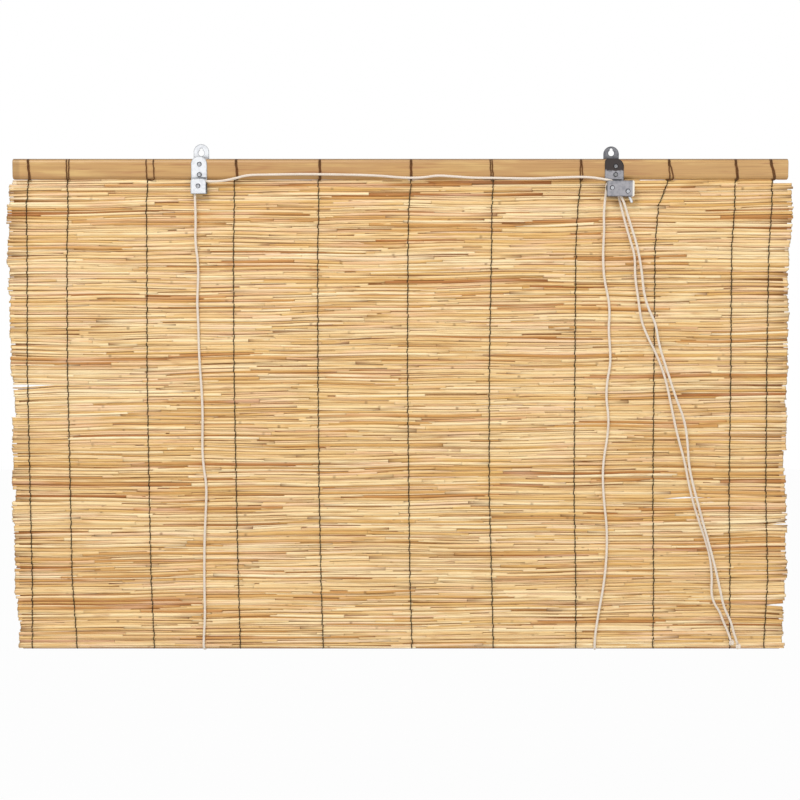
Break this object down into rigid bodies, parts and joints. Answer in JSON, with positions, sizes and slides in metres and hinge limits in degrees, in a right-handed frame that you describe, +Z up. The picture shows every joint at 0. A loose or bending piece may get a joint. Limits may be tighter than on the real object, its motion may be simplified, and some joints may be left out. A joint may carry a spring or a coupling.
{
  "type": "bamboo roll up blind",
  "caption": "Roll up window blind of natural bamboo reeds woven on dark warp threads, with a wooden head rail, steel keyhole hangers, pulleys, a cord lock and hanging pull cords.",
  "frame": {"origin": "midway between the round holes of the two keyhole hangers, on the wall plane at the back of the hanger plates", "axes": "+X along the head rail to the right as seen from the room, +Z up, the room is on the -Y side"},
  "size_m": [0.917, 0.0265, 0.5964],
  "materials": {
    "rail_wood": "bare split bamboo batten with fine lengthwise grain",
    "reed": "natural straw to golden reeds with brown nodes",
    "lath_wood": "bare wood",
    "thread": "dark green and black twisted thread",
    "bright_steel": "bright zinc plated",
    "dull_steel": "zinc plated, duller",
    "wheel_steel": "plated",
    "cord": "off white cotton cord"
  },
  "bodies": {
    "blind": {"head_rail": "rail_wood", "reed_band_01": "reed", "reed_band_02": "reed", "reed_band_03": "reed", "warp_threads": "thread", "left_hanger_plate": "bright_steel", "left_housing": "bright_steel", "left_axle": "bright_steel", "left_rivets": "bright_steel", "right_hanger_plate": "dull_steel", "right_housing": "dull_steel", "right_axle": "dull_steel", "cam_pin": "dull_steel", "right_rivets": "dull_steel", "left_lift_cord": "cord", "right_lift_cord": "cord", "left_pull_cord": "cord", "right_pull_cord": "cord", "left_anchor_knot": "cord", "right_anchor_knot": "cord", "left_pull_knot": "cord", "right_pull_knot": "cord"},
    "mat_04": {"reed_band_04": "reed"},
    "mat_05": {"reed_band_05": "reed"},
    "mat_06": {"reed_band_06": "reed"},
    "mat_07": {"reed_band_07": "reed"},
    "mat_08": {"reed_band_08": "reed"},
    "mat_09": {"reed_band_09": "reed"},
    "mat_10": {"reed_band_10": "reed"},
    "mat_11": {"reed_band_11": "reed"},
    "mat_12": {"reed_band_12": "reed"},
    "mat_13": {"reed_band_13": "reed"},
    "mat_14": {"reed_band_14": "reed"},
    "mat_15": {"reed_band_15": "reed"},
    "mat_16": {"reed_band_16": "reed"},
    "mat_17": {"reed_band_17": "reed"},
    "mat_18": {"reed_band_18": "reed"},
    "mat_19": {"reed_band_19": "reed"},
    "mat_20": {"reed_band_20": "reed"},
    "mat_21": {"reed_band_21": "reed"},
    "mat_22": {"reed_band_22": "reed"},
    "mat_23": {"reed_band_23": "reed"},
    "mat_24": {"reed_band_24": "reed", "bottom_rail": "lath_wood"},
    "left_wheel": {"left_wheel": "wheel_steel"},
    "right_wheel_back": {"right_wheel_back": "wheel_steel"},
    "right_wheel_front": {"right_wheel_front": "wheel_steel"},
    "lock_cam": {"lock_cam": "wheel_steel"}
  },
  "joints": [
    {"name": "mat_curl_04", "type": "hinge", "parent": "blind", "child": "mat_04", "pos_m": [0, -0.007, -0.1], "axis": [1, 0, 0], "range_deg": [0, 35.53]},
    {"name": "mat_curl_05", "type": "hinge", "parent": "mat_04", "child": "mat_05", "pos_m": [0, -0.007, -0.123], "axis": [1, 0, 0], "range_deg": [0, 36.16]},
    {"name": "mat_curl_06", "type": "hinge", "parent": "mat_05", "child": "mat_06", "pos_m": [0, -0.007, -0.146], "axis": [1, 0, 0], "range_deg": [0, 36.83]},
    {"name": "mat_curl_07", "type": "hinge", "parent": "mat_06", "child": "mat_07", "pos_m": [0, -0.007, -0.169], "axis": [1, 0, 0], "range_deg": [0, 37.53]},
    {"name": "mat_curl_08", "type": "hinge", "parent": "mat_07", "child": "mat_08", "pos_m": [0, -0.007, -0.192], "axis": [1, 0, 0], "range_deg": [0, 38.28]},
    {"name": "mat_curl_09", "type": "hinge", "parent": "mat_08", "child": "mat_09", "pos_m": [0, -0.007, -0.215], "axis": [1, 0, 0], "range_deg": [0, 39.07]},
    {"name": "mat_curl_10", "type": "hinge", "parent": "mat_09", "child": "mat_10", "pos_m": [0, -0.007, -0.238], "axis": [1, 0, 0], "range_deg": [0, 39.92]},
    {"name": "mat_curl_11", "type": "hinge", "parent": "mat_10", "child": "mat_11", "pos_m": [0, -0.007, -0.261], "axis": [1, 0, 0], "range_deg": [0, 40.82]},
    {"name": "mat_curl_12", "type": "hinge", "parent": "mat_11", "child": "mat_12", "pos_m": [0, -0.007, -0.284], "axis": [1, 0, 0], "range_deg": [0, 41.78]},
    {"name": "mat_curl_13", "type": "hinge", "parent": "mat_12", "child": "mat_13", "pos_m": [0, -0.007, -0.307], "axis": [1, 0, 0], "range_deg": [0, 42.82]},
    {"name": "mat_curl_14", "type": "hinge", "parent": "mat_13", "child": "mat_14", "pos_m": [0, -0.007, -0.33], "axis": [1, 0, 0], "range_deg": [0, 43.94]},
    {"name": "mat_curl_15", "type": "hinge", "parent": "mat_14", "child": "mat_15", "pos_m": [0, -0.007, -0.353], "axis": [1, 0, 0], "range_deg": [0, 45.16]},
    {"name": "mat_curl_16", "type": "hinge", "parent": "mat_15", "child": "mat_16", "pos_m": [0, -0.007, -0.376], "axis": [1, 0, 0], "range_deg": [0, 46.48]},
    {"name": "mat_curl_17", "type": "hinge", "parent": "mat_16", "child": "mat_17", "pos_m": [0, -0.007, -0.399], "axis": [1, 0, 0], "range_deg": [0, 47.92]},
    {"name": "mat_curl_18", "type": "hinge", "parent": "mat_17", "child": "mat_18", "pos_m": [0, -0.007, -0.422], "axis": [1, 0, 0], "range_deg": [0, 49.51]},
    {"name": "mat_curl_19", "type": "hinge", "parent": "mat_18", "child": "mat_19", "pos_m": [0, -0.007, -0.445], "axis": [1, 0, 0], "range_deg": [0, 51.26]},
    {"name": "mat_curl_20", "type": "hinge", "parent": "mat_19", "child": "mat_20", "pos_m": [0, -0.007, -0.468], "axis": [1, 0, 0], "range_deg": [0, 53.22]},
    {"name": "mat_curl_21", "type": "hinge", "parent": "mat_20", "child": "mat_21", "pos_m": [0, -0.007, -0.491], "axis": [1, 0, 0], "range_deg": [0, 55.42]},
    {"name": "mat_curl_22", "type": "hinge", "parent": "mat_21", "child": "mat_22", "pos_m": [0, -0.007, -0.514], "axis": [1, 0, 0], "range_deg": [0, 57.92]},
    {"name": "mat_curl_23", "type": "hinge", "parent": "mat_22", "child": "mat_23", "pos_m": [0, -0.007, -0.537], "axis": [1, 0, 0], "range_deg": [0, 60.8]},
    {"name": "roll_up", "type": "hinge", "parent": "mat_23", "child": "mat_24", "pos_m": [0, -0.007, -0.56], "axis": [1, 0, 0], "range_deg": [0, 64.16], "deforming": ["left_lift_cord", "right_lift_cord", "warp_threads"]},
    {"name": "left_wheel_turn", "type": "hinge", "parent": "blind", "child": "left_wheel", "pos_m": [-0.2408, -0.0158, -0.0386], "axis": [0, 1, 0], "continuous": true},
    {"name": "right_wheel_back_turn", "type": "hinge", "parent": "blind", "child": "right_wheel_back", "pos_m": [0.2376, -0.0158, -0.0408], "axis": [0, 1, 0], "continuous": true},
    {"name": "right_wheel_front_turn", "type": "hinge", "parent": "blind", "child": "right_wheel_front", "pos_m": [0.2376, -0.0206, -0.0408], "axis": [0, 1, 0], "continuous": true},
    {"name": "cam_release", "type": "hinge", "parent": "blind", "child": "lock_cam", "pos_m": [0.2557, -0.0182, -0.0447], "axis": [0, 1, 0], "range_deg": [0, 20]}
  ],
  "couplings": [
    {"joint": "mat_curl_04", "follows": "roll_up", "ratio": 0.55376},
    {"joint": "mat_curl_05", "follows": "roll_up", "ratio": 0.56361},
    {"joint": "mat_curl_06", "follows": "roll_up", "ratio": 0.57399},
    {"joint": "mat_curl_07", "follows": "roll_up", "ratio": 0.58498},
    {"joint": "mat_curl_08", "follows": "roll_up", "ratio": 0.59661},
    {"joint": "mat_curl_09", "follows": "roll_up", "ratio": 0.60897},
    {"joint": "mat_curl_10", "follows": "roll_up", "ratio": 0.62214},
    {"joint": "mat_curl_11", "follows": "roll_up", "ratio": 0.63619},
    {"joint": "mat_curl_12", "follows": "roll_up", "ratio": 0.65125},
    {"joint": "mat_curl_13", "follows": "roll_up", "ratio": 0.66744},
    {"joint": "mat_curl_14", "follows": "roll_up", "ratio": 0.6849},
    {"joint": "mat_curl_15", "follows": "roll_up", "ratio": 0.70381},
    {"joint": "mat_curl_16", "follows": "roll_up", "ratio": 0.72436},
    {"joint": "mat_curl_17", "follows": "roll_up", "ratio": 0.74685},
    {"joint": "mat_curl_18", "follows": "roll_up", "ratio": 0.77159},
    {"joint": "mat_curl_19", "follows": "roll_up", "ratio": 0.79896},
    {"joint": "mat_curl_20", "follows": "roll_up", "ratio": 0.82947},
    {"joint": "mat_curl_21", "follows": "roll_up", "ratio": 0.86379},
    {"joint": "mat_curl_22", "follows": "roll_up", "ratio": 0.90279},
    {"joint": "mat_curl_23", "follows": "roll_up", "ratio": 0.94765}
  ]
}
